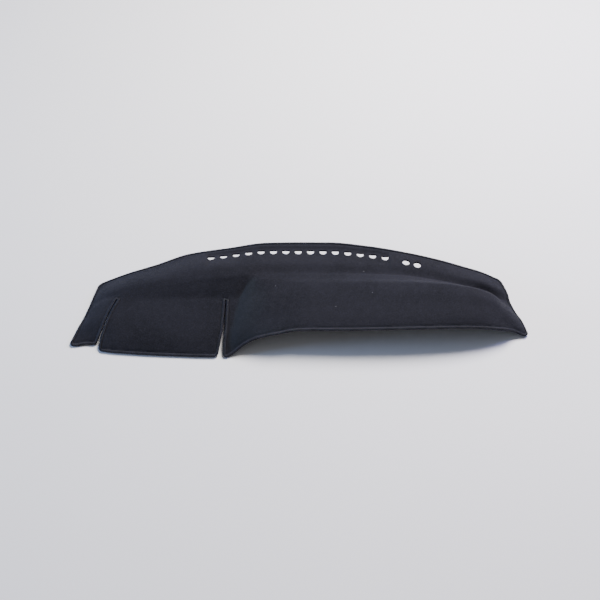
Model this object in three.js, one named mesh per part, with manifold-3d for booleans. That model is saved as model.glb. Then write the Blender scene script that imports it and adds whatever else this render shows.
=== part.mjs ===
// Dashboard cover mat: a moulded carpet, its bound edge and the grip tabs under it.
// Millimetres. +X points to the driver's side, +Y to the windscreen, +Z up.
// The mat stands on its own edges, as it was moulded.
import * as THREE from "three";
import { mergeVertices } from "three/addons/utils/BufferGeometryUtils.js";
import Module from "manifold-3d";

const wasm = await Module();
wasm.setup();

// Carpet
const carpetThick = 5;
const leftRun = 110; // how far the left end takes to curve down to the floor
const rightRun = 90;
const stepRound = 0.14; // share of the step's face that rounds off at its top and foot

// Bound edge: a strip folded over the carpet's edge
const bindingWall = 0.9;
const bindingReach = 8;
const bindingRound = 1.5;
const fitGap = 0.8;

// Demister holes, D-shaped, in a row along the windscreen edge
const ventCount = 15;
const ventPitch = 41.3;
const ventRowCentreX = -5;
const ventWide = 23;
const ventDeep = 19.5;
const ventInset = 45; // from the windscreen edge to the holes' middle

// Shallow pressed trough that the demister holes lie in
const troughDeep = 5;
const troughStep = 15; // length of the step behind the holes
const rimWide = 17; // rim left between the edge and the step
const troughFade = 62; // how far the trough takes to run out toward the cabin
const troughLeft = -318;
const troughRight = 300;

// Sensor holes
const sensorRadius = 12.2;
const sensors = [[351, 346], [388, 337]];

// Slots on both sides of the passenger flap: points on the middle line, with the gap there
const outerSlot = [
  [-587, 203, 3.6],
  [-598, 177, 2.6],
  [-609, 142, 2.4],
  [-620, 102, 3],
  [-629, 70, 5],
  [-634, 46, 12],
];
const innerSlot = [
  [-236.5, 196, 2.6],
  [-237, 135, 3.4],
  [-239, 88, 4.8],
  [-243, 56, 6.8],
  [-245, 24, 12],
];
const flapCorner = 16;
const wingCorner = 12;
const tongueCorner = 11;
const endCorner = 28;

// Grip tabs: middle of each, and its turn in degrees
const tabLong = 50;
const tabWide = 25;
const tabThick = 1.6;
const glueGap = 0.85;
const tabs = [
  [-500, 315, 15],
  [-150, 345, 4],
  [150, 355, -3],
  [475, 335, -12],
  [-420, 165, 0],
  [310, 160, 0],
];

// Moulded form: lines that run from the left end to the right, each through [x, y, z] points
const rearLine = [
  [-740, 285, 2], [-660, 309, 5], [-640, 317, 9], [-560, 339, 22], [-481, 361, 33],
  [-370, 401, 45], [-242, 418, 55], [-108, 437, 62], [0, 437.5, 64], [101, 437, 64],
  [222, 425, 60], [342, 404, 54], [462, 377, 44], [580, 346, 28], [634, 334, 19],
  [660, 324, 12], [740, 290, 4],
];
const rollLine = [
  [-740, 246, 40], [-606, 240, 44], [-518, 255, 58], [-453, 267, 67], [-390, 283, 73],
  [-325, 298, 79], [-261, 307, 83], [-196, 311, 83], [-98, 324, 78], [0, 331, 74.5],
  [164, 333, 71.5], [329, 330, 65.5], [428, 320, 58], [493, 306, 50], [558, 291, 42],
  [608, 281, 35], [649, 272, 29], [740, 252, 25],
];
const creaseLine = [
  [-740, 212, 37], [-603, 217, 40], [-565, 227, 47], [-516, 235, 54], [-452, 244, 61],
  [-387, 253, 68], [-323, 263, 74], [-258, 269, 79], [-194, 273.5, 80], [-165, 277, 79.5],
  [-130, 287, 76], [0, 295, 71], [163, 297, 67], [327, 295, 60], [425, 284, 52],
  [490, 275, 43], [555, 265, 32], [605, 256, 21.5], [653, 238, 12], [740, 213, 10],
];
const footLine = [
  [-740, 200, 35], [-603, 202, 42], [-515, 204, 44], [-322, 202, 47.5], [-241, 201.5, 48],
  [-205, 202.5, 48.5], [-194, 206, 49], [-187, 216, 52], [-180, 229, 57.5], [-170, 245, 66],
  [-156, 257, 73.5], [-138, 262, 78.5], [-115, 256, 80.5], [-80, 246, 82], [0, 236, 84],
  [159, 228, 92], [318, 223, 98], [412, 218, 101], [475, 212, 101], [538, 204, 97],
  [570, 200, 91], [621, 195, 70], [655, 182, 54], [740, 160, 44],
];
const crownLine = [
  [-740, 184, 33], [-603, 187, 40.5], [-451, 189, 43], [-322, 187, 45.5], [-241, 186.5, 46],
  [-205, 187, 46], [-195, 188.5, 47], [-188, 191, 50.5], [-172, 197, 59], [-150, 203, 68],
  [-125, 207, 74.5], [-96, 209, 79], [0, 208, 84.5], [159, 203, 92.5], [318, 198, 98.5],
  [412, 194, 101], [475, 190, 101], [538, 184, 97], [570, 180, 91], [621, 175, 71],
  [655, 164, 56], [740, 145, 44],
];
const midLine = [
  [-740, 136, 31], [-560, 136, 34.5], [-444, 136, 36], [-317, 135, 37], [-241, 135, 36],
  [-216, 135, 35.5], [-206, 136, 36.5], [-199, 137.5, 40], [-184, 142, 48.5], [-150, 150, 63.5],
  [-96, 154, 75], [0, 153, 82], [159, 148, 88], [312, 145, 93], [468, 143, 94], [563, 142, 84],
  [610, 138, 67], [650, 132, 52], [740, 124, 42],
];
const lowLine = [
  [-740, 92, 13], [-660, 90, 14], [-620, 80, 16.5], [-560, 72, 20], [-444, 70, 22],
  [-300, 70, 23], [-241, 71, 21.5], [-223, 73, 20.5], [-216, 74, 22], [-210, 75.5, 25],
  [-192, 80, 35.5], [-160, 88, 49], [-126, 94, 59], [0, 100, 77], [159, 98, 83], [312, 96, 87],
  [468, 98, 85], [563, 103, 75], [610, 106, 59], [650, 108, 43], [740, 106, 26],
];
const frontLine = [
  [-740, 48, 0], [-700, 50, 0], [-668, 56, 0], [-645, 54, 0], [-611, 28, 0],
  [-541, 20, 0], [-391, 11, 0], [-261, 7, 0], [-222, 9, 0], [-208, 14, 3],
  [-192, 24, 13], [-167, 36, 28], [-130, 44, 45], [-74, 48, 60], [0, 56, 70],
  [153, 54, 74], [307, 56, 76], [462, 63, 72], [556, 70, 62], [640, 80, 41],
  [681, 91, 20], [705, 88, 9], [740, 84, 2],
];
const formLines = [
  frontLine, lowLine, midLine, crownLine, footLine, creaseLine, rollLine, rearLine,
];

// Sides of the outline, and where they reach on the floor
const leftSide = [[-717, 78], [-705.5, 121], [-693.5, 162], [-682.5, 215], [-671, 285]];
const rightSide = [
  [676, 304], [685, 262], [688, 228], [698, 180], [711, 148], [720, 110],
];

// Smooth line through rising knots that never swings past them and runs on straight
function smooth(knots, at, column) {
  const last = knots.length - 1;
  const rise = (i) =>
    (knots[i + 1][column] - knots[i][column]) / (knots[i + 1][0] - knots[i][0]);
  if (at <= knots[0][0]) return knots[0][column] + rise(0) * (at - knots[0][0]);
  if (at >= knots[last][0]) {
    return knots[last][column] + rise(last - 1) * (at - knots[last][0]);
  }
  let k = 0;
  while (knots[k + 1][0] < at) k += 1;
  const slope = (i) => {
    if (i === 0) return rise(0);
    if (i === last) return rise(last - 1);
    const before = rise(i - 1);
    const after = rise(i);
    return before * after <= 0 ? 0 : (2 * before * after) / (before + after);
  };
  const span = knots[k + 1][0] - knots[k][0];
  const t = (at - knots[k][0]) / span;
  return (
    knots[k][column] * (1 + 2 * t) * (1 - t) ** 2 +
    span * slope(k) * t * (1 - t) ** 2 +
    knots[k + 1][column] * t ** 2 * (3 - 2 * t) +
    span * slope(k + 1) * t ** 2 * (t - 1)
  );
}

const yOn = (line, x) => smooth(line, x, 1);
const ease = (t) => THREE.MathUtils.smoothstep(t, 0, 1);

// How much of the form's height is left near an end, where it curves down to the floor
function endFall(distance, run) {
  const t = Math.min(distance / run, 1);
  return t * (2 - t);
}

const byY = (side) => side.map(([x, y]) => [y, x]).sort((a, b) => a[0] - b[0]);
const leftByY = byY(leftSide);
const rightByY = byY(rightSide);

// Depth of the pressed trough at a place
function trough(x, y) {
  const behind = yOn(rearLine, x) - rimWide - y;
  const beyond = behind - (ventInset + ventDeep * 0.6 - rimWide);
  const across = ease((x - troughLeft) / 24) * ease((troughRight - x) / 9);
  const along = ease(behind / troughStep) * (1 - ease(beyond / troughFade));
  return troughDeep * across * along;
}

// Height of the carpet's middle surface over the plan
function height(x, y) {
  const section = formLines.map((line) => [yOn(line, x), smooth(line, x, 2)]);
  const foot = formLines.indexOf(footLine);
  const faceAt = (share) =>
    section[foot].map((value, i) => value + (section[foot + 1][i] - value) * share);
  section.splice(foot + 1, 0, faceAt(stepRound), faceAt(1 - stepRound));
  const ends =
    endFall(x - smooth(leftByY, y, 1), leftRun) *
    endFall(smooth(rightByY, y, 1) - x, rightRun);
  return (smooth(section, y, 1) - trough(x, y)) * ends;
}

function surfaceAt(x, y) {
  return new THREE.Vector3(x, y, height(x, y));
}

function normalAt(x, y) {
  const step = 1;
  const alongX = height(x + step, y) - height(x - step, y);
  const alongY = height(x, y + step) - height(x, y - step);
  return new THREE.Vector3(-alongX, -alongY, 2 * step).normalize();
}

// A point that stands off the middle surface by a distance along its normal
function offSurface(x, y, distance) {
  return surfaceAt(x, y).addScaledVector(normalAt(x, y), distance);
}

// Outline in plan, as closely spaced points

// Points every few millimetres through a short list
function throughPoints(list, pitch = 3) {
  const curve = new THREE.SplineCurve(list.map(([x, y]) => new THREE.Vector2(x, y)));
  return curve.getSpacedPoints(Math.ceil(curve.getLength() / pitch));
}

// Points along one of the form's lines
function alongLine(line, from, to, pitch = 4) {
  const count = Math.ceil(Math.abs(to - from) / pitch);
  return Array.from({ length: count + 1 }, (_, i) => {
    const x = from + ((to - from) * i) / count;
    return new THREE.Vector2(x, yOn(line, x));
  });
}

// Points of a round corner between two straight runs
function corner(before, tip, after, radius) {
  const from = before.clone().sub(tip).normalize();
  const to = after.clone().sub(tip).normalize();
  const half = from.angleTo(to) / 2;
  const reach = radius / Math.tan(half);
  const middle = from.clone().add(to).normalize().multiplyScalar(radius / Math.sin(half));
  middle.add(tip);
  const start = tip.clone().addScaledVector(from, reach).sub(middle);
  const end = tip.clone().addScaledVector(to, reach).sub(middle);
  const turn = Math.atan2(start.cross(end), start.dot(end));
  const count = Math.max(4, Math.ceil(Math.abs(turn) * 6));
  return Array.from({ length: count + 1 }, (_, i) =>
    start.clone().rotateAround(new THREE.Vector2(), (turn * i) / count).add(middle),
  );
}

// Both sides of a slot from its round end down, and the round end from right to left
function slotSides(slot) {
  const middle = throughPoints(slot);
  const gaps = slot.map(([, y, gap]) => [y, gap]).reverse();
  const sides = middle.map((point, i) => {
    const before = middle[Math.max(i - 1, 0)];
    const after = middle[Math.min(i + 1, middle.length - 1)];
    const down = after.clone().sub(before).normalize();
    const across = new THREE.Vector2(-down.y, down.x);
    return across.multiplyScalar(smooth(gaps, point.y, 1) / 2);
  });
  const origin = new THREE.Vector2();
  return {
    left: middle.map((point, i) => point.clone().sub(sides[i])),
    right: middle.map((point, i) => point.clone().add(sides[i])),
    end: [1, 2, 3, 4, 5, 6, 7].map((i) =>
      sides[0].clone().rotateAround(origin, (Math.PI * i) / 8).add(middle[0]),
    ),
  };
}

// Points between two others, with both of them left out
function straight(from, to, pitch = 4) {
  const count = Math.ceil(from.distanceTo(to) / pitch);
  return Array.from({ length: count - 1 }, (_, i) =>
    from.clone().lerp(to, (i + 1) / count),
  );
}

// The whole outline, clockwise from the left end of the windscreen edge
function outlinePoints() {
  const inner = slotSides(innerSlot);
  const outer = slotSides(outerSlot);
  const lineEnd = (run) => run[run.length - 1];
  const wingFloor = leftSide[0][1] - 10;
  const runs = [
    alongLine(rearLine, -646, 636),
    throughPoints(rightSide),
    alongLine(frontLine, 700, -196),
    [...inner.right.reverse(), ...inner.end, ...inner.left],
    alongLine(frontLine, -271, -592),
    [
      ...outer.right.reverse(),
      ...outer.end,
      ...outer.left.filter((point) => point.y > wingFloor),
    ],
    alongLine(frontLine, -652, -706),
    throughPoints(leftSide),
  ];
  const corners = [
    [671, 327, endCorner],
    [727, 83, wingCorner],
    [-239, -1, tongueCorner],
    [-253, 7, flapCorner],
    [-629, 30, flapCorner],
    [-638, 54, wingCorner],
    [-725, 50, wingCorner],
    [-671, 307, endCorner],
  ];
  return runs.flatMap((run, i) => {
    const next = runs[(i + 1) % runs.length];
    const [x, y, radius] = corners[i];
    const turn = corner(lineEnd(run), new THREE.Vector2(x, y), next[0], radius);
    const toTurn = straight(lineEnd(run), turn[0]);
    const fromTurn = straight(lineEnd(turn), next[0]);
    return [...run, ...toTurn, ...turn, ...fromTurn];
  });
}

// Fewer points of a closed path, none of them leaving it by more than the tolerance
function thinned(path, tolerance, longest) {
  const chord = new THREE.Line3();
  const nearest = new THREE.Vector3();
  const kept = [0];
  let from = 0;
  while (from < path.length - 1) {
    let to = from + 1;
    while (to < path.length - 1) {
      chord.set(path[from].at, path[to + 1].at);
      const near = path.slice(from + 1, to + 1).every(({ at }) => {
        chord.closestPointToPoint(at, true, nearest);
        return nearest.distanceTo(at) < tolerance;
      });
      if (!near || chord.distance() > longest) break;
      to += 1;
    }
    kept.push(to);
    from = to;
  }
  return kept.slice(0, -1).map((i) => path[i]);
}

// The outline on the moulded form, with the way inward and the way up at each station
function stations() {
  const plan = outlinePoints();
  const path = plan.map(({ x, y }) => ({ at: surfaceAt(x, y), up: normalAt(x, y) }));
  path.forEach((station, i) => {
    const before = path[(i - 1 + path.length) % path.length].at;
    const after = path[(i + 1) % path.length].at;
    const ahead = after.clone().sub(before).normalize();
    station.inward = ahead.cross(station.up).normalize();
  });
  return thinned(path, 0.16, 30);
}

// Closed body from rings of points that run round a loop
function loopBody(rings) {
  const size = rings[0].length;
  const index = rings.flatMap((_, i) =>
    rings[0].flatMap((_, k) => {
      const a = i * size + k;
      const b = i * size + ((k + 1) % size);
      const shift = (((i + 1) % rings.length) - i) * size;
      return [a, a + shift, b, b, a + shift, b + shift];
    }),
  );
  const geometry = new THREE.BufferGeometry().setFromPoints(rings.flat());
  geometry.setIndex(index);
  return geometry;
}

// Edge strip: a channel folded over the carpet's edge
function bindingRings(edge) {
  const inside = carpetThick / 2 + fitGap;
  const outside = inside + bindingWall;
  const section = [
    [bindingReach, outside],
    [bindingRound, outside],
    [0, outside - bindingRound],
    [0, bindingRound - outside],
    [bindingRound, -outside],
    [bindingReach, -outside],
    [bindingReach, -inside],
    [bindingWall, -inside],
    [bindingWall, inside],
    [bindingReach, inside],
  ];
  return edge.map(({ at, inward }) =>
    section.map(([b, n]) => offSurface(at.x + inward.x * b, at.y + inward.y * b, n)),
  );
}

// Solid for cutting, from an indexed closed geometry
function solid(geometry) {
  geometry.deleteAttribute("normal");
  geometry.deleteAttribute("uv");
  const merged = mergeVertices(geometry, 1e-4);
  const mesh = new wasm.Mesh({
    numProp: 3,
    vertProperties: merged.attributes.position.array,
    triVerts: merged.index.array,
  });
  return new wasm.Manifold(mesh);
}

// Grid over the plan whose rows follow the form's lines
function planGrid() {
  const columns = [];
  const widths = [
    [-736, -576, 13],
    [-576, -256, 32],
    [-256, -160, 8],
    [-160, -110, 17],
    [-110, 290, 40],
    [290, 310, 6],
    [310, 530, 36],
    [530, 740, 14],
  ];
  for (const [from, to, pitch] of widths) {
    const count = Math.round((to - from) / pitch);
    for (let i = 0; i < count; i += 1) columns.push(from + ((to - from) * i) / count);
  }
  columns.push(740);
  const spans = [
    [frontLine, lowLine, [0, 0.15, 0.38, 0.68]],
    [lowLine, midLine, [0, 0.35, 0.7]],
    [midLine, crownLine, [0, 0.5]],
    [crownLine, footLine, [0]],
    [footLine, creaseLine, [0, stepRound, 0.5, 1 - stepRound]],
    [creaseLine, rollLine, [0, 0.5]],
  ];
  return columns.map((x) => {
    const row = [yOn(frontLine, x) - 25];
    for (const [from, to, shares] of spans) {
      const start = yOn(from, x);
      const depth = yOn(to, x) - start;
      row.push(...shares.map((share) => start + depth * share));
    }
    const roll = yOn(rollLine, x);
    const step = yOn(rearLine, x) - rimWide - troughStep;
    for (let i = 0; i < 3; i += 1) row.push(roll + ((step - roll) * i) / 3);
    row.push(step);
    row.push(step + troughStep / 2);
    row.push(step + troughStep);
    row.push(step + troughStep + rimWide + 15);
    return row.map((y) => [x, y]);
  });
}

// Flat blank with a slight dome, so that cutting it keeps each point of the grid
const domeBase = 40;
const domeBend = 1e-3;

function blank() {
  const grid = planGrid();
  const across = grid[0].length;
  const half = grid.length * across;
  const level = (x, y) => domeBase + domeBend * (x * x + y * y);
  const points = grid.flat();
  const vertices = [
    ...points.map(([x, y]) => new THREE.Vector3(x, y, level(x, y))),
    ...points.map(([x, y]) => new THREE.Vector3(x, y, -level(x, y))),
  ];
  const index = [];
  const quad = (a, b, c, d) => index.push(a, b, c, a, c, d);
  for (let i = 0; i + 1 < grid.length; i += 1) {
    for (let k = 0; k + 1 < across; k += 1) {
      const a = i * across + k;
      quad(a, a + across, a + across + 1, a + 1);
      quad(half + a, half + a + 1, half + a + across + 1, half + a + across);
    }
    const front = i * across;
    const rear = front + across - 1;
    quad(front, half + front, half + front + across, front + across);
    quad(rear, rear + across, half + rear + across, half + rear);
  }
  for (let k = 0; k + 1 < across; k += 1) {
    const far = half - across + k;
    quad(k, k + 1, half + k + 1, half + k);
    quad(far, half + far, half + far + 1, far + 1);
  }
  const geometry = new THREE.BufferGeometry().setFromPoints(vertices);
  geometry.setIndex(index);
  return geometry;
}

// Demister hole: straight toward the windscreen, half round toward the cabin
function ventPath(x, y) {
  const half = ventWide / 2;
  const nose = ventDeep * 0.62;
  const back = ventDeep - nose;
  const round = 3;
  const points = Array.from({ length: 9 }, (_, i) => {
    const turn = (Math.PI * (8 + i)) / 8;
    return new THREE.Vector2(x + half * Math.cos(turn), y + nose * Math.sin(turn));
  });
  for (const side of [1, -1]) {
    const cut = [[half, back - round], [half - round * 0.3, back - round * 0.3]];
    cut.push([half - round, back]);
    if (side < 0) cut.reverse();
    for (const [u, v] of cut) points.push(new THREE.Vector2(x + side * u, y + v));
  }
  return new THREE.Path(points);
}

function ventCentres() {
  return Array.from({ length: ventCount }, (_, i) => {
    const x = ventRowCentreX + (i - (ventCount - 1) / 2) * ventPitch;
    return [x, yOn(rearLine, x) - ventInset];
  });
}

function carpetGeometry(edge) {
  const inset = bindingWall + fitGap;
  const rim = edge.map(({ at, inward }) =>
    new THREE.Vector2(at.x + inward.x * inset, at.y + inward.y * inset),
  );
  const shape = new THREE.Shape(rim);
  for (const [x, y] of ventCentres()) shape.holes.push(ventPath(x, y));
  for (const [x, y] of sensors) {
    shape.holes.push(new THREE.Path().absarc(x, y, sensorRadius, 0, 2 * Math.PI));
  }
  const tall = domeBase + domeBend * 1.2e6;
  const cutter = new THREE.ExtrudeGeometry(shape, {
    depth: 2 * tall,
    bevelEnabled: false,
    curveSegments: 10,
  });
  cutter.translate(0, 0, -tall);
  const cut = solid(blank()).intersect(solid(cutter)).getMesh();
  const pressed = [];
  for (let i = 0; i < cut.vertProperties.length; i += 3) {
    const [x, y, z] = cut.vertProperties.slice(i, i + 3);
    pressed.push(offSurface(x, y, (Math.sign(z) * carpetThick) / 2));
  }
  const geometry = new THREE.BufferGeometry().setFromPoints(pressed);
  geometry.setIndex(Array.from(cut.triVerts));
  return geometry;
}

// Tab that follows the carpet's underside
function tabGeometry([cx, cy, turn]) {
  const angle = THREE.MathUtils.degToRad(turn);
  const steps = 4;
  const plan = [];
  for (let i = 0; i <= steps; i += 1) {
    const u = (i / steps - 0.5) * tabLong;
    for (const v of [-tabWide / 2, 0, tabWide / 2]) {
      plan.push([
        cx + u * Math.cos(angle) - v * Math.sin(angle),
        cy + u * Math.sin(angle) + v * Math.cos(angle),
      ]);
    }
  }
  const top = -carpetThick / 2 - glueGap;
  const points = [
    ...plan.map(([x, y]) => offSurface(x, y, top)),
    ...plan.map(([x, y]) => offSurface(x, y, top - tabThick)),
  ];
  const half = plan.length;
  const index = [];
  const quad = (a, b, c, d) => index.push(a, b, c, a, c, d);
  for (let i = 0; i < steps; i += 1) {
    for (const k of [0, 1]) {
      const a = i * 3 + k;
      quad(a, a + 3, a + 4, a + 1);
      quad(half + a, half + a + 1, half + a + 4, half + a + 3);
    }
    const a = i * 3;
    quad(a, half + a, half + a + 3, a + 3);
    quad(a + 2, a + 5, half + a + 5, half + a + 2);
  }
  for (const k of [0, 1]) {
    const far = half - 3 + k;
    quad(k, k + 1, half + k + 1, half + k);
    quad(far, half + far, half + far + 1, far + 1);
  }
  const geometry = new THREE.BufferGeometry().setFromPoints(points);
  geometry.setIndex(index);
  return geometry;
}

const carpetLook = new THREE.MeshStandardMaterial({
  color: "#1f2129",
  roughness: 0.95,
  metalness: 0,
});
const bindingLook = new THREE.MeshStandardMaterial({
  color: "#262932",
  roughness: 0.85,
  metalness: 0,
});
const tabLook = new THREE.MeshStandardMaterial({
  color: "#15161a",
  roughness: 0.8,
  metalness: 0,
});

const edge = stations();
const part = new THREE.Group();
part.name = "dash_mat";

// The middle of the bound edge goes to the origin, and its lowest point to the floor
const rings = bindingRings(edge);
const bounds = new THREE.Box3().setFromPoints(rings.flat());
const middle = bounds.getCenter(new THREE.Vector3());
const shift = new THREE.Vector3(-middle.x, -middle.y, -bounds.min.z);

function add(name, geometry, look) {
  geometry.translate(shift.x, shift.y, shift.z);
  geometry.computeVertexNormals();
  const mesh = new THREE.Mesh(geometry, look);
  mesh.name = name;
  part.add(mesh);
}

add("carpet", carpetGeometry(edge), carpetLook);
add("edge_binding", loopBody(rings), bindingLook);
tabs.forEach((tab, i) => add(`grip_tab_${i + 1}`, tabGeometry(tab), tabLook));

export default part;
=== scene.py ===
# %% [markdown]
# # A moulded dashboard mat
# The mat is one carpet pressed into the shape of a dashboard top. Its edge is bound with
# overlock thread, and a few tabs under it hold it down. This script builds it piece by piece
# over the CAD frame and sets it on a pale floor in soft light.

# %% Open the frame
import math

import bpy
import numpy as np
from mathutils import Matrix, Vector
from mathutils.geometry import delaunay_2d_cdt


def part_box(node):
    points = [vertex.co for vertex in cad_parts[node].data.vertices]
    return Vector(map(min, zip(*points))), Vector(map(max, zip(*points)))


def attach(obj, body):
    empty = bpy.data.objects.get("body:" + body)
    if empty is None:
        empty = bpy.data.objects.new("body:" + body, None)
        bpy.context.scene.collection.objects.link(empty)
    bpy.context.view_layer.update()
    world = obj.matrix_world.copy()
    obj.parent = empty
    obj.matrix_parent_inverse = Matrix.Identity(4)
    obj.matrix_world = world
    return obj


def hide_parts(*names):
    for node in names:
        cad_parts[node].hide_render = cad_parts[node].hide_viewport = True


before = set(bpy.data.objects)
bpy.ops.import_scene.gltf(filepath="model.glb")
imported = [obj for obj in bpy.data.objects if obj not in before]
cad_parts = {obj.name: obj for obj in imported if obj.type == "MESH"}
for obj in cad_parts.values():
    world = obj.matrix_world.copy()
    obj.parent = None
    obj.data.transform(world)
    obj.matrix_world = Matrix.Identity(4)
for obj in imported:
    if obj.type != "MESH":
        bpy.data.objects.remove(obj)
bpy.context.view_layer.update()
print("CAD nodes:", sorted(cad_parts))

# %% [markdown]
# ## Sizes
# Lengths are in millimetres while the form is worked out, and become metres when a mesh is
# made. They are the CAD part's sizes, apart from a softer rounding at the step and an inner
# slot that is about a millimetre wider.

# %% Sizes
CARPET_THICK = 5.0
LEFT_RUN, RIGHT_RUN = 110.0, 90.0
CREASE_ROUND, FOOT_ROUND = 0.22, 0.48
BINDING_WALL, BINDING_REACH, FIT_GAP = 0.9, 8.0, 0.8
VENT_COUNT, VENT_PITCH, VENT_MIDDLE = 15, 41.3, -5.0
VENT_WIDE, VENT_DEEP, VENT_INSET = 23.0, 19.5, 45.0
VENT_NOSE, VENT_BACK, VENT_CORNER = 0.62, 0.38, 3.0
TROUGH_DEEP, TROUGH_STEP, TROUGH_FADE = 5.0, 15.0, 62.0
TROUGH_LEFT, TROUGH_RIGHT, RIM_WIDE = -318.0, 300.0, 17.0
TROUGH_EASE_LEFT, TROUGH_EASE_RIGHT = 24.0, 9.0
SENSOR_RADIUS = 12.2
SENSORS = [(351, 346), (388, 337)]
OUTER_SLOT = [
    (-587, 203, 3.6), (-598, 177, 2.6), (-609, 142, 2.4),
    (-620, 102, 3), (-629, 70, 5), (-634, 46, 12),
]
INNER_SLOT = [
    (-236.5, 196, 2.6), (-237, 150, 4.0), (-239, 88, 5.8), (-242.5, 56, 8.0), (-245, 24, 12.5),
]
TABS = [
    (-500, 315, 15), (-150, 345, 4), (150, 355, -3),
    (475, 335, -12), (-420, 165, 0), (310, 160, 0),
]
TAB_LONG, TAB_WIDE, TAB_THICK, GLUE_GAP = 50.0, 25.0, 1.6, 0.85
print(VENT_COUNT, "demister holes,", len(SENSORS), "sensor holes,", len(TABS), "tabs")

# %% [markdown]
# ## The lines of the form
# Eight lines run from the left end to the right: the front edge, two lines up the front, the
# crown and foot of the step, the crease above it, the shelf's rounded front and the
# windscreen edge. Each is a short list of places it passes through, as (x, y, z). At the
# right end the crease lies up to 4 mm deeper than in the CAD part. Two more lines, as (x, y),
# bound the mat at its ends.

# %% The lines of the form
REAR = [
    (-740, 285, 2), (-660, 309, 5), (-640, 317, 9), (-560, 339, 22), (-481, 361, 33),
    (-370, 401, 45), (-242, 418, 55), (-108, 437, 62), (0, 437.5, 64), (101, 437, 64),
    (222, 425, 60), (342, 404, 54), (462, 377, 44), (580, 346, 28), (634, 334, 19),
    (660, 324, 12), (740, 290, 4),
]
ROLL = [
    (-740, 246, 40), (-606, 240, 44), (-518, 255, 58), (-453, 267, 67), (-390, 283, 73),
    (-325, 298, 79), (-261, 307, 83), (-196, 311, 83), (-98, 324, 78), (0, 331, 74.5),
    (164, 333, 71.5), (329, 330, 65.5), (428, 320, 58), (493, 306, 50), (558, 291, 42),
    (608, 281, 35), (649, 272, 29), (740, 252, 25),
]
CREASE = [
    (-740, 212, 37), (-603, 217, 40), (-565, 227, 47), (-516, 235, 54), (-452, 244, 61),
    (-387, 253, 68), (-323, 263, 74), (-258, 269, 79), (-194, 273.5, 80), (-165, 277, 79.5),
    (-130, 287, 76), (0, 295, 71), (163, 297, 67), (327, 295, 60), (425, 284, 52),
    (490, 275, 43), (555, 265, 32), (605, 256, 19), (653, 238, 8), (740, 213, 7),
]
FOOT = [
    (-740, 200, 35), (-603, 202, 42), (-515, 204, 44), (-322, 202, 47.5), (-241, 201.5, 48),
    (-205, 202.5, 48.5), (-194, 206, 49), (-187, 216, 52), (-180, 229, 57.5),
    (-170, 245, 66), (-156, 257, 73.5), (-138, 262, 78.5), (-115, 256, 80.5),
    (-80, 246, 82), (0, 236, 84), (159, 228, 92), (318, 223, 98), (412, 218, 101),
    (475, 212, 101), (538, 204, 97), (570, 200, 91), (621, 195, 70), (655, 182, 54),
    (740, 160, 44),
]
CROWN = [
    (-740, 184, 33), (-603, 187, 40.5), (-451, 189, 43), (-322, 187, 45.5),
    (-241, 186.5, 46), (-205, 187, 46), (-195, 188.5, 47), (-188, 191, 50.5),
    (-172, 197, 59), (-150, 203, 68), (-125, 207, 74.5), (-96, 209, 79), (0, 208, 84.5),
    (159, 203, 92.5), (318, 198, 98.5), (412, 194, 101), (475, 190, 101), (538, 184, 97),
    (570, 180, 91), (621, 175, 71), (655, 164, 56), (740, 145, 44),
]
MID = [
    (-740, 136, 31), (-560, 136, 34.5), (-444, 136, 36), (-317, 135, 37), (-241, 135, 36),
    (-216, 135, 35.5), (-206, 136, 36.5), (-199, 137.5, 40), (-184, 142, 48.5),
    (-150, 150, 63.5), (-96, 154, 75), (0, 153, 82), (159, 148, 88), (312, 145, 93),
    (468, 143, 94), (563, 142, 84), (610, 138, 67), (650, 132, 52), (740, 124, 42),
]
LOW = [
    (-740, 92, 13), (-660, 90, 14), (-620, 80, 16.5), (-560, 72, 20), (-444, 70, 22),
    (-300, 70, 23), (-241, 71, 21.5), (-223, 73, 20.5), (-216, 74, 22), (-210, 75.5, 25),
    (-192, 80, 35.5), (-160, 88, 49), (-126, 94, 59), (0, 100, 77), (159, 98, 83),
    (312, 96, 87), (468, 98, 85), (563, 103, 75), (610, 106, 59), (650, 108, 43),
    (740, 106, 26),
]
FRONT = [
    (-740, 48, 0), (-700, 50, 0), (-668, 56, 0), (-645, 54, 0), (-611, 28, 0),
    (-541, 20, 0), (-391, 11, 0), (-261, 7, 0), (-222, 9, 0), (-208, 14, 3), (-192, 24, 13),
    (-167, 36, 28), (-130, 44, 45), (-74, 48, 60), (0, 56, 70), (153, 54, 74),
    (307, 56, 76), (462, 63, 72), (556, 70, 62), (640, 80, 41), (681, 91, 20), (705, 88, 9),
    (740, 84, 2),
]
FORM = [FRONT, LOW, MID, CROWN, FOOT, CREASE, ROLL, REAR]
LEFT_SIDE = [(-717, 78), (-705.5, 121), (-693.5, 162), (-682.5, 215), (-671, 285)]
RIGHT_SIDE = [(676, 304), (685, 262), (688, 228), (698, 180), (711, 148), (720, 110)]
print(len(FORM), "lines make the form")

# %% [markdown]
# ## Smooth lines through a few points
# A monotone cubic passes through every knot and never swings past one, so a few knots are
# enough for a clean edge. Beyond its ends the line runs on straight. The same function works
# on one set of knots, or on a set of its own for every place asked for.


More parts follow.
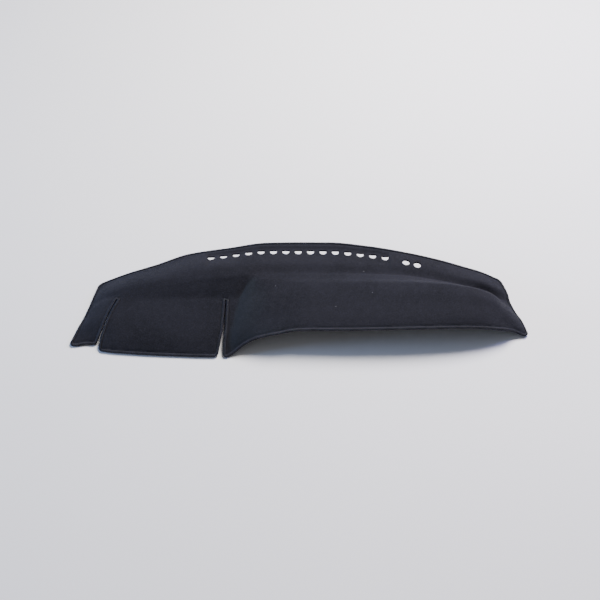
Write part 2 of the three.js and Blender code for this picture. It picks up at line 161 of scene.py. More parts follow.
# %% Smooth lines
def smooth(xs, vs, at):
    xs, vs = np.asarray(xs, float), np.asarray(vs, float)
    at = np.asarray(at, float)
    if xs.ndim == 1:
        xs = np.repeat(xs[:, None], at.size, 1)
        vs = np.repeat(vs[:, None], at.size, 1)
    span = np.diff(xs, axis=0)
    rise = np.diff(vs, axis=0) / span
    inner = rise[:-1] * rise[1:]
    mean = 2 * inner / np.where(inner > 0, rise[:-1] + rise[1:], 1)
    slope = np.vstack([rise[:1], np.where(inner > 0, mean, 0), rise[-1:]])
    k = np.clip((xs < at).sum(0) - 1, 0, len(xs) - 2)
    i = np.arange(at.size)
    h = span[k, i]
    t = (at - xs[k, i]) / h
    inside = (
        vs[k, i] * (1 + 2 * t) * (1 - t) ** 2
        + h * slope[k, i] * t * (1 - t) ** 2
        + vs[k + 1, i] * t**2 * (3 - 2 * t)
        + h * slope[k + 1, i] * t**2 * (t - 1)
    )
    before = vs[0] + rise[0] * (at - xs[0])
    after = vs[-1] + rise[-1] * (at - xs[-1])
    return np.where(at <= xs[0], before, np.where(at >= xs[-1], after, inside))


def on_line(line, x, column=1):
    line = np.array(line, float)
    return smooth(line[:, 0], line[:, column], np.atleast_1d(x))


def ease(t):
    t = np.clip(t, 0, 1)
    return t * t * (3 - 2 * t)


def side_x(side, y):
    points = np.array(sorted(side, key=lambda p: p[1]), float)
    return smooth(points[:, 1], points[:, 0], y)


print("front edge at the middle:", on_line(FRONT, 0.0).round(1))

# %% [markdown]
# ## The moulded surface
# At any place the eight lines give a section through the mat, and a smooth line through it
# gives the height. Both ends fall away to the floor, and a shallow trough holds the
# demister holes. Two tiny dents lie where the photograph shows them.

# %% The moulded surface
DENTS = [(-634, 252, 4.5, 1.6), (-252, 195, 3.5, 1.4)]


def trough(x, y):
    behind = on_line(REAR, x) - RIM_WIDE - y
    beyond = behind - (VENT_INSET + VENT_DEEP * 0.6 - RIM_WIDE)
    across = ease((x - TROUGH_LEFT) / TROUGH_EASE_LEFT)
    across = across * ease((TROUGH_RIGHT - x) / TROUGH_EASE_RIGHT)
    return TROUGH_DEEP * across * ease(behind / TROUGH_STEP) * (1 - ease(beyond / TROUGH_FADE))


def end_fall(distance, run):
    t = np.minimum(distance / run, 1)
    return t * (2 - t)


def height(x, y):
    ys = np.array([on_line(line, x) for line in FORM])
    zs = np.array([on_line(line, x, 2) for line in FORM])
    ys, zs = (
        np.vstack([
            v[:5], v[4] + (v[5] - v[4]) * FOOT_ROUND, v[5] + (v[4] - v[5]) * CREASE_ROUND, v[5:]
        ])
        for v in (ys, zs)
    )
    left = end_fall(x - side_x(LEFT_SIDE, y), LEFT_RUN)
    right = end_fall(side_x(RIGHT_SIDE, y) - x, RIGHT_RUN)
    z = (smooth(ys, zs, y) - trough(x, y)) * left * right
    for dx, dy, radius, depth in DENTS:
        z = z - depth * np.exp(-((x - dx) ** 2 + (y - dy) ** 2) / radius**2)
    return z


def normals(x, y):
    along_x = height(x + 1, y) - height(x - 1, y)
    along_y = height(x, y + 1) - height(x, y - 1)
    n = np.stack([-along_x, -along_y, np.full_like(along_x, 2.0)], 1)
    return n / np.linalg.norm(n, axis=1)[:, None]


def off_surface(xy, distance):
    xy = np.asarray(xy, float)
    x, y = xy[:, 0], xy[:, 1]
    surface = np.stack([x, y, height(x, y)], 1)
    return surface + normals(x, y) * np.reshape(distance, (-1, 1))


print("height of the hood's crown:", height(np.array([400.0]), np.array([200.0])).round(1))

# %% [markdown]
# ## The outline
# The outline goes clockwise: along the windscreen edge, round the right end, back along the
# hood's lip, up and down the inner slot, under the flap, up and down the outer slot, and
# round the small wing at the left end.


# %% The outline
def through(points, pitch=3.0):
    p = np.array(points, float)[:, :2]
    padded = np.vstack([p[:1], p, p[-1:]])
    dense = []
    for i in range(len(p) - 1):
        a, b, c, d = padded[i : i + 4]
        t = np.linspace(0, 1, 200, endpoint=False)[:, None]
        m0, m1 = (c - a) / 2, (d - b) / 2
        dense.append(
            (2 * t**3 - 3 * t**2 + 1) * b + (t**3 - 2 * t**2 + t) * m0
            + (3 * t**2 - 2 * t**3) * c + (t**3 - t**2) * m1
        )
    return even(np.vstack(dense + [p[-1:]]), pitch)


def even(path, pitch):
    steps = np.linalg.norm(np.diff(path, axis=0), axis=1)
    gone = np.concatenate([[0], np.cumsum(steps)])
    at = np.linspace(0, gone[-1], int(math.ceil(gone[-1] / pitch)) + 1)
    return np.stack([np.interp(at, gone, path[:, k]) for k in range(path.shape[1])], 1)


def along(line, start, stop, pitch=4.0):
    x = np.linspace(start, stop, int(math.ceil(abs(stop - start) / pitch)) + 1)
    return np.stack([x, on_line(line, x)], 1)


def corner(before, tip, after, radius):
    to_start = (before - tip) / np.linalg.norm(before - tip)
    to_end = (after - tip) / np.linalg.norm(after - tip)
    half = math.acos(np.clip(to_start @ to_end, -1, 1)) / 2
    reach = radius / math.tan(half)
    middle = to_start + to_end
    middle = tip + middle / np.linalg.norm(middle) * radius / math.sin(half)
    start, end = tip + to_start * reach - middle, tip + to_end * reach - middle
    first = math.atan2(start[1], start[0])
    turn = math.atan2(start[0] * end[1] - start[1] * end[0], start @ end)
    a = first + np.linspace(0, turn, max(5, int(abs(turn) * radius / 2)))
    return middle + radius * np.stack([np.cos(a), np.sin(a)], 1)


def slot_sides(slot):
    middle = through(slot)
    down = np.gradient(middle, axis=0)
    down /= np.linalg.norm(down, axis=1)[:, None]
    gaps = np.array(slot, float)[::-1]
    half = smooth(gaps[:, 1], gaps[:, 2], middle[:, 1]) / 2
    out = np.stack([-down[:, 1], down[:, 0]], 1) * half[:, None]
    a = math.pi * np.arange(1, 8) / 8
    arm = out[0]
    end = np.stack(
        [arm[0] * np.cos(a) - arm[1] * np.sin(a), arm[0] * np.sin(a) + arm[1] * np.cos(a)], 1
    )
    return middle - out, middle + out, end + middle[0]


def outline():
    inner_left, inner_right, inner_end = slot_sides(INNER_SLOT)
    outer_left, outer_right, outer_end = slot_sides(OUTER_SLOT)
    outer_left = outer_left[outer_left[:, 1] > LEFT_SIDE[0][1] - 10]
    runs = [
        along(REAR, -646, 636),
        through(RIGHT_SIDE),
        along(FRONT, 700, -196),
        np.vstack([inner_right[::-1], inner_end, inner_left]),
        along(FRONT, -271, -592),
        np.vstack([outer_right[::-1], outer_end, outer_left]),
        along(FRONT, -652, -706),
        through(LEFT_SIDE),
    ]
    corners = [
        (671, 327, 28), (727, 83, 12), (-239, -1, 11), (-253, 7, 16),
        (-629, 30, 16), (-638, 54, 12), (-725, 50, 12), (-671, 307, 28),
    ]
    path = []
    for i, run in enumerate(runs):
        x, y, radius = corners[i]
        after = runs[(i + 1) % len(runs)][0]
        path += [run, corner(run[-1], np.array([x, y], float), after, radius)]
    whole = np.vstack(path + [runs[0][:1]])
    keep = np.concatenate([[True], np.linalg.norm(np.diff(whole, axis=0), axis=1) > 1e-6])
    return whole[keep]


def edge_frames(path):
    at = off_surface(path, 0.0)
    up = normals(path[:, 0], path[:, 1])
    ahead = np.roll(at, -1, 0) - np.roll(at, 1, 0)
    inward = np.cross(ahead, up)
    inward /= np.linalg.norm(inward, axis=1)[:, None]
    return at, up, inward


EDGE = even(outline(), 3.0)[:-1]
EDGE_AT, _, EDGE_IN = edge_frames(EDGE)
around = np.linalg.norm(np.roll(EDGE_AT, -1, 0) - EDGE_AT, axis=1).sum()
print("the edge is %.2f m long, in %d steps" % (around / 1000, len(EDGE)))

# %% [markdown]
# ## From millimetres to the frame
# The CAD frame has its origin on the floor under the middle of the mat. The shift is found
# from the bound edge's box, so that both models lie in one place.


# %% From millimetres to the frame
def binding_ring(b, n):
    return off_surface(EDGE_AT[:, :2] + EDGE_IN[:, :2] * b, n)


OUTSIDE = CARPET_THICK / 2 + FIT_GAP + BINDING_WALL
hull = np.vstack([
    binding_ring(b, n)
    for b, n in [(0, 2.65), (0, -2.65), (1.5, OUTSIDE), (1.5, -OUTSIDE), (BINDING_REACH, -OUTSIDE)]
])
cad_low, cad_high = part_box("edge_binding")
low, high = hull.min(0), hull.max(0)
SHIFT = np.array([
    (cad_low.x + cad_high.x) * 500 - (low[0] + high[0]) / 2,
    (cad_low.y + cad_high.y) * 500 - (low[1] + high[1]) / 2,
    cad_low.z * 1000 - low[2],
])
print("shift, mm:", SHIFT.round(2), " CAD size:", (cad_high - cad_low) * 1000)


def place(points):
    return (np.asarray(points) + SHIFT) / 1000


def make_object(name, points, faces):
    mesh = bpy.data.meshes.new(name)
    mesh.from_pydata([tuple(p) for p in points], [], faces)
    mesh.validate()
    obj = bpy.data.objects.new(name, mesh)
    bpy.context.scene.collection.objects.link(obj)
    mesh.shade_smooth()
    return obj


# %% [markdown]
# ## The holes
# A demister hole is a D with its flat side to the windscreen, and a sensor hole is round. Both
# can be drawn a little larger, for a second ring just outside the cut.


# %% The holes
def vent_centres():
    x = VENT_MIDDLE + (np.arange(VENT_COUNT) - (VENT_COUNT - 1) / 2) * VENT_PITCH
    return np.stack([x, on_line(REAR, x) - VENT_INSET], 1)


def vent_edge(centre, grow):
    half, nose = VENT_WIDE / 2 + grow, VENT_DEEP * VENT_NOSE + grow
    back, soft = VENT_DEEP * VENT_BACK + grow, VENT_CORNER
    a = np.linspace(math.pi, 2 * math.pi, 17)
    curve = np.stack([half * np.cos(a), nose * np.sin(a)], 1)
    b = np.linspace(0, math.pi / 2, 4)
    right = np.stack([half - soft + soft * np.cos(b), back - soft + soft * np.sin(b)], 1)
    left = right[::-1] * [-1, 1]
    return np.vstack([curve, right, left]) + centre


def sensor_edge(centre, grow):
    a = np.arange(36) * 2 * math.pi / 36
    return np.stack([np.cos(a), np.sin(a)], 1) * (SENSOR_RADIUS + grow) + centre


HOLE_LIP = 1.3
holes = [vent_edge(c, 0) for c in vent_centres()]
holes += [sensor_edge(np.array(c, float), 0) for c in SENSORS]
lips = [vent_edge(c, HOLE_LIP) for c in vent_centres()]
lips += [sensor_edge(np.array(c, float), HOLE_LIP) for c in SENSORS]
print(len(holes), "holes in the carpet")

# %% [markdown]
# ## Inside, and far enough away
# A point is inside a loop if a line from it crosses the loop an odd number of times. Points
# that fall too near a loop are dropped, and a coarse grid of cells keeps that search short.


# %% Inside, and far enough away
def inside(loop, points):
    x, y = points[:, 0], points[:, 1]
    found = np.zeros(len(points), bool)
    for a, b in zip(loop, np.roll(loop, -1, 0)):
        crosses = (a[1] > y) != (b[1] > y)
        if crosses.any():
            reach = (b[0] - a[0]) * (y - a[1]) / (b[1] - a[1] + 1e-12) + a[0]
            found ^= crosses & (x < reach)
    return found


CELL = 8.0


def clear_of(loops, points, distance):
    cells = {}
    for p in np.vstack(loops):
        cells.setdefault((int(p[0] // CELL), int(p[1] // CELL)), []).append(p)
    keep = np.ones(len(points), bool)
    for i, p in enumerate(points):
        cx, cy = int(p[0] // CELL), int(p[1] // CELL)
        for near in [(cx + a, cy + b) for a in (-1, 0, 1) for b in (-1, 0, 1)]:
            for q in cells.get(near, ()):
                if (p[0] - q[0]) ** 2 + (p[1] - q[1]) ** 2 < distance**2:
                    keep[i] = False
    return keep


print("the middle is inside the outline:", inside(EDGE_AT[:, :2], np.array([[0.0, 200.0]]))[0])

# %% [markdown]
# ## Points over the plan
# The carpet's rim lies inside the binding. A groove runs beside the binding, where the seam
# pulls the pile down. The rest is filled with evenly spread points, finer at the two dents.

# %% Points over the plan
RIM_INSET = BINDING_WALL + FIT_GAP
GROOVE_INSET, GROOVE_DEEP = 9.6, 1.7
rim = EDGE_AT[:, :2] + EDGE_IN[:, :2] * RIM_INSET
groove = EDGE_AT[:, :2] + EDGE_IN[:, :2] * GROOVE_INSET

PITCH = 5.0
ROW_PITCH, CLEARANCE = PITCH * 0.9, PITCH * 0.55
gx, gy = np.meshgrid(np.arange(-725, 726, PITCH), np.arange(0, 440, ROW_PITCH))
gx = gx + (np.arange(gx.shape[0])[:, None] % 2) * PITCH / 2
field = np.stack([gx.ravel(), gy.ravel()], 1)
fine = [
    np.array(c[:2]) + np.array([u, v]) for c in DENTS
    for u in np.arange(-6, 6.1, 1.5) for v in np.arange(-6, 6.1, 1.5)
]
far = np.ones(len(field), bool)
for dx, dy, _, _ in DENTS:
    far &= np.hypot(field[:, 0] - dx, field[:, 1] - dy) > 10
field = np.vstack([field[far], fine])
field = field[inside(rim, field)]
for lip in lips:
    field = field[~inside(lip, field)]
field = field[clear_of([rim, groove] + lips, field, CLEARANCE)]
print(len(field), "points between the cuts")

# %% [markdown]
# ## Cutting the carpet
# A constrained triangulation joins the points and keeps the outline and the holes as clean
# edges. Triangles outside the rim or inside a hole are dropped, and all are turned one way.

# %% Cutting the carpet
loops = [rim, groove] + holes + lips
plan = np.vstack([field] + loops)
edges, start = [], len(field)
for loop in loops:
    index = np.arange(len(loop)) + start
    edges += list(zip(index.tolist(), np.roll(index, -1).tolist()))
    start += len(loop)
cdt = delaunay_2d_cdt([Vector(p) for p in plan], edges, [], 0, 1e-5)
plan = np.array([tuple(v) for v in cdt[0]])
origin = [o[0] if o else -1 for o in cdt[3]]
triangles = np.array([f for f in cdt[2] if len(f) == 3])
middles = plan[triangles].mean(1)
kept = inside(rim, middles)
for hole in holes:
    kept &= ~inside(hole, middles)
triangles = triangles[kept]
a, b, c = (plan[triangles[:, k]] for k in range(3))
turned = (b[:, 0] - a[:, 0]) * (c[:, 1] - a[:, 1]) < (b[:, 1] - a[:, 1]) * (c[:, 0] - a[:, 0])
triangles[turned] = triangles[turned][:, ::-1]
print("the cut carpet has", len(triangles), "triangles on each face")

# %% [markdown]
# ## Pressing it into shape
# Every point of the flat cut goes to the moulded surface, once for the pile side and once for
# the backing, and a wall joins them along every cut edge. Round the holes the pile side is
# pressed down a little, and more so in the groove beside the binding.

# %% Pressing it into shape
used = np.unique(triangles)
number = -np.ones(len(plan), int)
number[used] = np.arange(len(used))
triangles = number[triangles]
flat = plan[used]
origin = np.array(origin)[used]
rim_last = len(field) + len(rim)
hole_first = rim_last + len(groove)
hole_last = hole_first + sum(len(h) for h in holes)
on_cut = (origin >= hole_first) & (origin < hole_last)
in_groove = (origin >= rim_last) & (origin < hole_first)
CUT_ROUND = 0.8
half = np.full(len(flat), CARPET_THICK / 2)
top = off_surface(flat, half - CUT_ROUND * on_cut - GROOVE_DEEP * in_groove)
under = off_surface(flat, -half)
count = len(flat)
borders = {}
for tri in triangles.tolist():
    for k in range(3):
        borders[(tri[k], tri[(k + 1) % 3])] = True
walls = [(b, a, a + count, b + count) for a, b in borders if (b, a) not in borders]
faces = triangles.tolist() + (triangles[:, ::-1] + count).tolist() + walls
carpet = make_object("moulded_carpet", place(np.vstack([top, under])), faces)

# %% [markdown]
# ## Painted light on the left flank
# On the hood's left flank the pile is painted lighter and bluer, standing in for light from the
# left. An attribute on the mesh says how strongly, from how steeply the carpet falls to the left.

# %% Painted light on the left flank
PAINTED_FLANK_LIGHT = "painted flank light"
LEAN_FROM, LEAN_SPAN = 0.05, 0.3
FLANK_LEFT, FLANK_RIGHT = -245, 20
FLANK_EASE_LEFT, FLANK_EASE_RIGHT = 20, 120
# Painted light: the more the carpet faces left, the lighter and bluer it is painted.
to_left = -normals(flat[:, 0], flat[:, 1])[:, 0]
painted_flank_light = ease((to_left - LEAN_FROM) / LEAN_SPAN)
painted_flank_light *= ease((flat[:, 0] - FLANK_LEFT) / FLANK_EASE_LEFT)
painted_flank_light *= ease((FLANK_RIGHT - flat[:, 0]) / FLANK_EASE_RIGHT)
layer = carpet.data.attributes.new(PAINTED_FLANK_LIGHT, "FLOAT", "POINT")
layer.data.foreach_set("value", np.concatenate([painted_flank_light, painted_flank_light]))
print("points with painted flank light:", int((painted_flank_light > 0.5).sum()))

# %% [markdown]
# ## The bound edge
# A folded strip wraps the carpet's edge all the way round. Its section is a flat loop that
# is swept along the edge, each point standing off the moulded surface.

# %% The bound edge
BINDING_OUT = [
    (8.0, 2.75), (7.3, 3.2), (5.6, 3.4), (3.2, 3.4), (1.5, 2.95), (0.75, 2.0), (0.5, 0.8),
]
BINDING_OUT += [(b, -n) for b, n in reversed(BINDING_OUT)]
BINDING_IN = [(7.8, -2.6), (3.5, -2.55), (1.6, -2.5), (1.6, 2.5), (3.5, 2.55), (7.8, 2.6)]
section = BINDING_OUT + BINDING_IN
rings = np.stack([binding_ring(b, n) for b, n in section], 1)
size, steps = len(section), len(EDGE)
faces = []
for i in range(steps):
    j = (i + 1) % steps
    for k in range(size):
        m = (k + 1) % size
        faces.append((i * size + k, j * size + k, j * size + m, i * size + m))
binding = make_object("edge_strip", place(rings.reshape(-1, 3)), faces)
print("binding has", len(faces), "faces")

# %% [markdown]
# ## Overlock thread
# One loop of thread is modelled once. Geometry Nodes sets a copy of it at every station
# along the edge, turned to the carpet there, with a little lean and unevenness.

# %% One loop of thread
THREAD = 0.42
LOOP_PATH = [
    (8.4, 2.65), (7.6, 3.35), (5.6, 3.75), (3.0, 3.75), (1.2, 3.15), (0.4, 1.5),
    (0.4, -1.5), (1.2, -3.15), (3.0, -3.75), (5.6, -3.75), (7.6, -3.35), (8.4, -2.65),
]


def tube(path, radius, sides=4):
    path = np.array(path, float)
    ahead = np.gradient(path, axis=0)
    ahead /= np.linalg.norm(ahead, axis=1)[:, None]
    side = np.cross(ahead, [0.13, 1.0, 0.07])
    side /= np.linalg.norm(side, axis=1)[:, None]
    over = np.cross(side, ahead)
    a = np.arange(sides) * 2 * math.pi / sides
    points, faces = [], []
    for p, u, v in zip(path, side, over):
        points += [p + radius * (math.cos(t) * u + math.sin(t) * v) for t in a]
    for i in range(len(path) - 1):
        for k in range(sides):
            m = (k + 1) % sides
            row, then = i * sides, (i + 1) * sides
            faces.append((row + k, row + m, then + m, then + k))
    last = len(points) - sides
    faces.append(tuple(reversed(range(sides))))
    faces.append(tuple(range(last, last + sides)))
    return np.array(points), faces


aslant = np.linspace(-0.9, 0.9, len(LOOP_PATH))
loop_line = [(b, s, n) for (b, n), s in zip(LOOP_PATH, aslant)]
loop_points, loop_faces = tube(loop_line, THREAD)
loop = make_object("thread_loop", loop_points / 1000, loop_faces)
print("one loop has", len(loop_faces), "faces")

# %% [markdown]
# ## Colours and materials
# One function turns an sRGB hex colour linear, and one adds a shader or geometry node with
# its settings and links. Every pattern is scaled from a real length in millimetres.


# %% Colour and node helpers
def srgb(code):
    parts = [int(code[i : i + 2], 16) / 255 for i in (1, 3, 5)]
    return tuple(p / 12.92 if p < 0.04045 else ((p + 0.055) / 1.055) ** 2.4 for p in parts) + (1,)


def add(tree, kind, inputs=None, **settings):
    made = tree.nodes.new(kind)
    for name, value in settings.items():
        setattr(made, name, value)
    for name, value in (inputs or {}).items():
        if isinstance(value, bpy.types.NodeSocket):
            tree.links.new(value, made.inputs[name])
        else:
            made.inputs[name].default_value = value
    return made


def new_material(name):
    material = bpy.data.materials.new(name)
    material.use_nodes = True
    tree = material.node_tree
    tree.nodes.clear()
    shader = add(tree, "ShaderNodeBsdfPrincipled")
    output = add(tree, "ShaderNodeOutputMaterial")
    tree.links.new(shader.outputs[0], output.inputs[0])
    coords = add(tree, "ShaderNodeTexCoord")
    return material, tree, shader, coords.outputs["Object"]


def noise(tree, at, size_mm, detail):
    made = add(
        tree, "ShaderNodeTexNoise",
        {"Vector": at, "Scale": 1000 / size_mm, "Detail": detail, "Roughness": 0.6},
    )
    return made.outputs["Fac"]


def mapped(tree, value, low, high, to_low=0.0, to_high=1.0):
    made = add(
        tree, "ShaderNodeMapRange",
        {"Value": value, "From Min": low, "From Max": high, "To Min": to_low, "To Max": to_high},
    )
    return made.outputs["Result"]


def mix_colour(tree, amount, a, b):
    made = tree.nodes.new("ShaderNodeMix")
    made.data_type = "RGBA"
    for index, value in ((0, amount), (6, a), (7, b)):
        if isinstance(value, bpy.types.NodeSocket):
            tree.links.new(value, made.inputs[index])
        else:
            made.inputs[index].default_value = value
    return made.outputs[2]


print("charcoal, linear:", [round(v, 4) for v in srgb("#25252c")])

# %% [markdown]
# ## Carpet
# Charcoal needled fibre: fine fibre, clumps of a few millimetres, a soft mottle, and broad
# areas where the pile lies another way. Painted light makes the left flank lighter and bluer,
# and four specks of lint lie where the photograph shows them. The backing has the same build
# in plainer tones.

# %% Carpet material
LINT = [(0.228, -0.0337), (0.1118, -0.083), (-0.0791, 0.005), (0.2082, 0.0813)]
LINT_SIZE = 0.0012


def carpet_material(name, dark, light, fibre_height):
    material, tree, shader, at = new_material(name)
    fibre = noise(tree, at, 0.9, 2.0)
    clump = noise(tree, at, 3.2, 3.0)
    mottle = noise(tree, at, 16.0, 2.0)
    lie = noise(tree, at, 170.0, 1.0)
    strands = add(
        tree, "ShaderNodeTexVoronoi", {"Vector": at, "Scale": 1000 / 1.6}, feature="F1"
    ).outputs["Distance"]
    tone = mix_colour(tree, mapped(tree, clump, 0.3, 0.7), srgb(dark), srgb(light))
    tone = mix_colour(tree, mapped(tree, mottle, 0.36, 0.64, 0, 0.36), tone, srgb(dark))
    tone = mix_colour(tree, mapped(tree, lie, 0.4, 0.6, 0, 0.3), tone, srgb(light))
    tone = mix_colour(tree, mapped(tree, fibre, 0.62, 0.8, 0, 0.5), tone, srgb("#303138"))
    bump = add(
        tree, "ShaderNodeBump", {"Height": clump, "Distance": fibre_height, "Strength": 0.8}
    )
    fine = add(
        tree, "ShaderNodeBump",
        {"Height": strands, "Distance": fibre_height * 0.4, "Normal": bump.outputs[0]},
    )
    # Painted light on the left flank: mixed toward a lighter, bluer tone.
    painted_flank_light = add(tree, "ShaderNodeAttribute", {}, attribute_name=PAINTED_FLANK_LIGHT).outputs["Fac"]
    tone = mix_colour(tree, mapped(tree, painted_flank_light, 0, 1, 0, 0.3), tone, srgb("#292e31"))
    plan_at = add(
        tree, "ShaderNodeVectorMath", {0: at, 1: (1, 1, 0)}, operation="MULTIPLY"
    ).outputs["Vector"]
    for x, y in LINT:
        away = add(
            tree, "ShaderNodeVectorMath", {0: plan_at, 1: (x, y, 0)}, operation="DISTANCE"
        ).outputs["Value"]
        near = mapped(tree, away, LINT_SIZE, LINT_SIZE / 2, 0, 0.4)
        tone = mix_colour(tree, near, tone, srgb("#b9b7bd"))
    tree.links.new(tone, shader.inputs["Base Color"])
    tree.links.new(fine.outputs[0], shader.inputs["Normal"])
    shader.inputs["Roughness"].default_value = 0.95
    shader.inputs["Specular IOR Level"].default_value = 0.15
    shader.inputs["Sheen Weight"].default_value = 0.05
    shader.inputs["Sheen Roughness"].default_value = 0.45
    shader.inputs["Sheen Tint"].default_value = srgb("#9aa0b4")
    return material


pile = carpet_material("Needled carpet pile", "#0f1014", "#25252c", 0.0012)
backing = carpet_material("Felt backing", "#17181b", "#222327", 0.0004)
carpet.data.materials.append(pile)
carpet.data.materials.append(backing)
for face in carpet.data.polygons[len(triangles) : 2 * len(triangles)]:
    face.material_index = 1
print("carpet materials:", [m.name for m in carpet.data.materials])

# %% [markdown]
# ## Thread and tape
# The thread is lighter than the pile, with its sheen painted into that lighter colour, so the
# bound edge shows as a thin light line. The tape under it is darker and shows only between the
# loops.


# %% Thread and tape materials
def thread_material(name, dark, light):
    material, tree, shader, at = new_material(name)
    twist = noise(tree, at, 0.7, 2.0)
    wear = noise(tree, at, 24.0, 3.0)
    tone = mix_colour(tree, mapped(tree, wear, 0.35, 0.65), srgb(dark), srgb(light))
    tone = mix_colour(tree, mapped(tree, twist, 0.5, 0.75, 0, 0.4), tone, srgb("#4c4d59"))
    bump = add(tree, "ShaderNodeBump", {"Height": twist, "Distance": 0.0002})
    tree.links.new(tone, shader.inputs["Base Color"])
    tree.links.new(bump.outputs[0], shader.inputs["Normal"])
    shader.inputs["Roughness"].default_value = 0.8
    shader.inputs["Specular IOR Level"].default_value = 0.25
    return material


# Painted sheen: the thread's colours are lighter than the pile's to stand in for its sheen.
thread_look = thread_material("Overlock thread", "#2a2b34", "#3a3b46")
tape_look = thread_material("Binding tape", "#121317", "#1a1b1f")
binding.data.materials.append(tape_look)
print("binding materials:", [m.name for m in binding.data.materials])

# %% [markdown]
# ## Sewing the edge
# The stations carry the way up and the way inward as attributes. The node group turns them
# into a rotation, sets the loops, scales each a little, and makes them real.


# %% Sewing the edge
def sew_group():
    tree = bpy.data.node_groups.new("Overlock edge", "GeometryNodeTree")
    face = tree.interface
    face.new_socket("Geometry", in_out="INPUT", socket_type="NodeSocketGeometry")
    face.new_socket("Loop", in_out="INPUT", socket_type="NodeSocketObject")
    for name, value in (("Unevenness", 0.04), ("Lean", 0.12)):
        face.new_socket(name, in_out="INPUT", socket_type="NodeSocketFloat").default_value = value
    face.new_socket("Seed", in_out="INPUT", socket_type="NodeSocketInt").default_value = 7
    face.new_socket("Thread", in_out="INPUT", socket_type="NodeSocketMaterial")
    face.new_socket("Geometry", in_out="OUTPUT", socket_type="NodeSocketGeometry")
    given = add(tree, "NodeGroupInput").outputs
    up, inward = (
        add(tree, "GeometryNodeInputNamedAttribute", {"Name": name}, data_type="FLOAT_VECTOR")
        for name in ("way_up", "way_in")
    )
    turn = add(
        tree, "FunctionNodeAxesToRotation",
        {"Primary Axis": up.outputs[0], "Secondary Axis": inward.outputs[0]},
        primary_axis="Z", secondary_axis="X",
    )
    least = add(tree, "ShaderNodeMath", {0: 1.0, 1: given["Unevenness"]}, operation="SUBTRACT")
    scale = add(
        tree, "FunctionNodeRandomValue",
        {"Min": least.outputs[0], "Max": 1.0, "Seed": given["Seed"]}, data_type="FLOAT",
    )
    least_lean = add(tree, "ShaderNodeMath", {0: 0.0, 1: given["Lean"]}, operation="SUBTRACT")
    lean = add(
        tree, "FunctionNodeRandomValue",
        {"Min": least_lean.outputs[0], "Max": given["Lean"], "Seed": given["Seed"]},
        data_type="FLOAT",
    )
    spin = add(tree, "ShaderNodeCombineXYZ", {"Z": lean.outputs[1]})
    own = add(tree, "FunctionNodeEulerToRotation", {"Euler": spin.outputs[0]})
    both = add(
        tree, "FunctionNodeRotateRotation",
        {"Rotation": turn.outputs[0], "Rotate By": own.outputs[0]}, rotation_space="LOCAL",
    )
    info = add(tree, "GeometryNodeObjectInfo", {"Object": given["Loop"]})
    copies = add(
        tree, "GeometryNodeInstanceOnPoints",
        {
            "Points": given["Geometry"], "Instance": info.outputs["Geometry"],
            "Rotation": both.outputs[0], "Scale": scale.outputs[1],
        },
    )
    real = add(tree, "GeometryNodeRealizeInstances", {"Geometry": copies.outputs[0]})
    dressed = add(
        tree, "GeometryNodeSetMaterial",
        {"Geometry": real.outputs[0], "Material": given["Thread"]},
    )
    add(tree, "NodeGroupOutput", {"Geometry": dressed.outputs[0]})
    return tree


STITCH_PITCH = 2.2
stations = even(np.vstack([EDGE, EDGE[:1]]), STITCH_PITCH)[:-1]
sewn_at, sewn_up, sewn_in = edge_frames(stations)
sewing = make_object("overlock_stitching", place(sewn_at), [])
for name, values in (("way_up", sewn_up), ("way_in", sewn_in)):
    attribute = sewing.data.attributes.new(name, "FLOAT_VECTOR", "POINT")
    attribute.data.foreach_set("vector", values.ravel())
modifier = sewing.modifiers.new("Sew", "NODES")
modifier.node_group = sew_group()
sockets = {s.name: s.identifier for s in modifier.node_group.interface.items_tree}
modifier[sockets["Loop"]] = loop
modifier[sockets["Thread"]] = thread_look
bpy.context.view_layer.update()
ready = sewing.evaluated_get(bpy.context.evaluated_depsgraph_get())
sewn = bpy.data.meshes.new_from_object(ready)
sewing.modifiers.clear()
sewing.data = sewn
bpy.data.objects.remove(loop)
print("overlock loops:", len(stations), " faces:", len(sewn.polygons))

# %% [markdown]
# ## Grip tabs
# Six hooked tabs lie against the backing. Each is a thin plate with eased corners that
# follows the moulded surface.


# %% Grip tabs
def tab_mesh(name, cx, cy, turn):
    across, wide, rounded = 14, 8, 3.0
    u, v = np.meshgrid(np.linspace(-1, 1, across + 1), np.linspace(-1, 1, wide + 1), indexing="ij")
    half_x, half_y = TAB_LONG / 2, TAB_WIDE / 2
    share_x, share_y = rounded / half_x, rounded / half_y
    pull_x = 1 - share_x * (np.clip(np.abs(v) - 1 + share_y, 0, 1) / share_y) ** 2
    pull_y = 1 - share_y * (np.clip(np.abs(u) - 1 + share_x, 0, 1) / share_x) ** 2
    x, y = (u * half_x * pull_x).ravel(), (v * half_y * pull_y).ravel()
    cos, sin = math.cos(math.radians(turn)), math.sin(math.radians(turn))
    plan = np.stack([cx + x * cos - y * sin, cy + x * sin + y * cos], 1)
    ceiling = -CARPET_THICK / 2 - GLUE_GAP
    top, low = off_surface(plan, ceiling), off_surface(plan, ceiling - TAB_THICK)
    row, half = wide + 1, len(plan)
    faces = []
    for i in range(across):
        for k in range(wide):
            a = i * row + k
            faces.append((a, a + row, a + row + 1, a + 1))
            faces.append((half + a, half + a + 1, half + a + row + 1, half + a + row))
    for i in range(across):
        a, b = i * row, i * row + wide
        faces.append((a, half + a, half + a + row, a + row))
        faces.append((b, b + row, half + b + row, half + b))
    for k in range(wide):
        far = across * row + k
        faces.append((k, k + 1, half + k + 1, half + k))
        faces.append((far, half + far, half + far + 1, far + 1))
    return make_object(name, place(np.vstack([top, low])), faces)


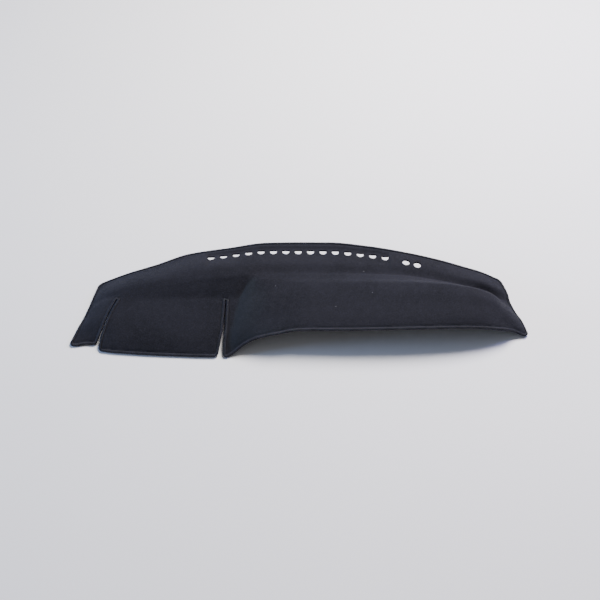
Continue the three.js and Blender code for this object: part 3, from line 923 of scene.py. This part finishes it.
def hook_material():
    material, tree, shader, at = new_material("Hook tape")
    hooks = add(
        tree, "ShaderNodeTexVoronoi",
        {"Vector": at, "Scale": 1000 / 1.4, "Randomness": 0.25}, feature="F1",
    ).outputs["Distance"]
    tone = mix_colour(tree, mapped(tree, hooks, 0.1, 0.6), srgb("#2a2b30"), srgb("#101114"))
    bump = add(tree, "ShaderNodeBump", {"Height": hooks, "Distance": 0.0006}, invert=True)
    tree.links.new(tone, shader.inputs["Base Color"])
    tree.links.new(bump.outputs[0], shader.inputs["Normal"])
    shader.inputs["Roughness"].default_value = 0.5
    return material


hook_look = hook_material()
tabs = []
for i, (x, y, turn) in enumerate(TABS):
    tab = tab_mesh("hook_tab_%d" % (i + 1), x, y, turn)
    tab.data.materials.append(hook_look)
    tabs.append(tab)
print("grip tabs:", len(tabs))

# %% [markdown]
# ## Tell the frame what each piece is
# Each piece stands for a CAD node. Each is hung on the root body, and the CAD nodes they stand
# for are hidden.

# %% Tell the frame what each piece is
for piece in [carpet, binding, sewing] + tabs:
    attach(piece, "root")
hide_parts("carpet")
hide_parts("edge_binding")
for i, tab in enumerate(tabs):
    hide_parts("grip_tab_%d" % (i + 1))
print("pieces told to the frame:", 3 + len(tabs))

# %% [markdown]
# ## Floor
# The floor is plain and almost white, and wide enough to fill the picture.


# %% Floor
def floor_material():
    material, tree, shader, at = new_material("Pale floor")
    cloudy = noise(tree, at, 900.0, 2.0)
    tone = mix_colour(tree, cloudy, srgb("#f6f6f6"), srgb("#fafafa"))
    tree.links.new(tone, shader.inputs["Base Color"])
    shader.inputs["Roughness"].default_value = 0.9
    return material


side = 12.0
corners = [(-side, -side, 0), (side, -side, 0), (side, side, 0), (-side, side, 0)]
floor_mesh = bpy.data.meshes.new("Floor")
floor_mesh.from_pydata(corners, [], [(0, 1, 2, 3)])
floor = bpy.data.objects.new("Floor", floor_mesh)
bpy.context.scene.collection.objects.link(floor)
floor.data.materials.append(floor_material())
print("floor is", 2 * side, "m wide")

# %% [markdown]
# ## Light
# A large soft light above and behind makes the level parts brighter than those that face the
# room. Two bluer ones, weaker where they reach the mat, fill in low from the left and from
# behind on the right.


# %% Light
def area_light(name, place_at, aim, size, power, colour):
    light = bpy.data.lights.new(name, "AREA")
    light.shape, light.size, light.energy, light.color = "DISK", size, power, srgb(colour)[:3]
    obj = bpy.data.objects.new(name, light)
    obj.location = place_at
    obj.rotation_euler = (Vector(aim) - Vector(place_at)).to_track_quat("-Z", "Y").to_euler()
    bpy.context.scene.collection.objects.link(obj)
    return obj


area_light("Key from behind", (1.3, 2.2, 3.1), (0, 0, 0), 2.1, 405, "#fffaf5")
area_light("Cool fill from the left", (-6.0, 0.0, 1.1), (0, 0, 0), 2.4, 410, "#9dc0ff")
area_light("Soft fill from the right", (3.4, 1.6, 1.9), (0.5, 0, 0), 1.4, 95, "#a9a9ff")

world = bpy.data.worlds.new("Studio")
bpy.context.scene.world = world
world.use_nodes = True
background = world.node_tree.nodes["Background"]
background.inputs["Color"].default_value = srgb("#f4f6ff")
background.inputs["Strength"].default_value = 0.2

# %% [markdown]
# ## Camera
# The camera was solved from the photograph: a 50 mm lens straight in front, looking down at 50
# degrees from 2.7 m away.

# %% Camera
CAMERA_AT = Vector((-0.0002, -1.7393, 2.0973))
CAMERA_AIM = Vector((-0.0002, -0.01665, 0.04428))
lens = bpy.data.cameras.new("Camera")
lens.lens, lens.sensor_width = 50.0, 36.0
camera = bpy.data.objects.new("Camera", lens)
camera.location = CAMERA_AT
camera.rotation_euler = (CAMERA_AIM - CAMERA_AT).to_track_quat("-Z", "Y").to_euler()
bpy.context.scene.collection.objects.link(camera)
bpy.context.scene.camera = camera
print("camera is %.2f m from the mat" % (CAMERA_AT - CAMERA_AIM).length)
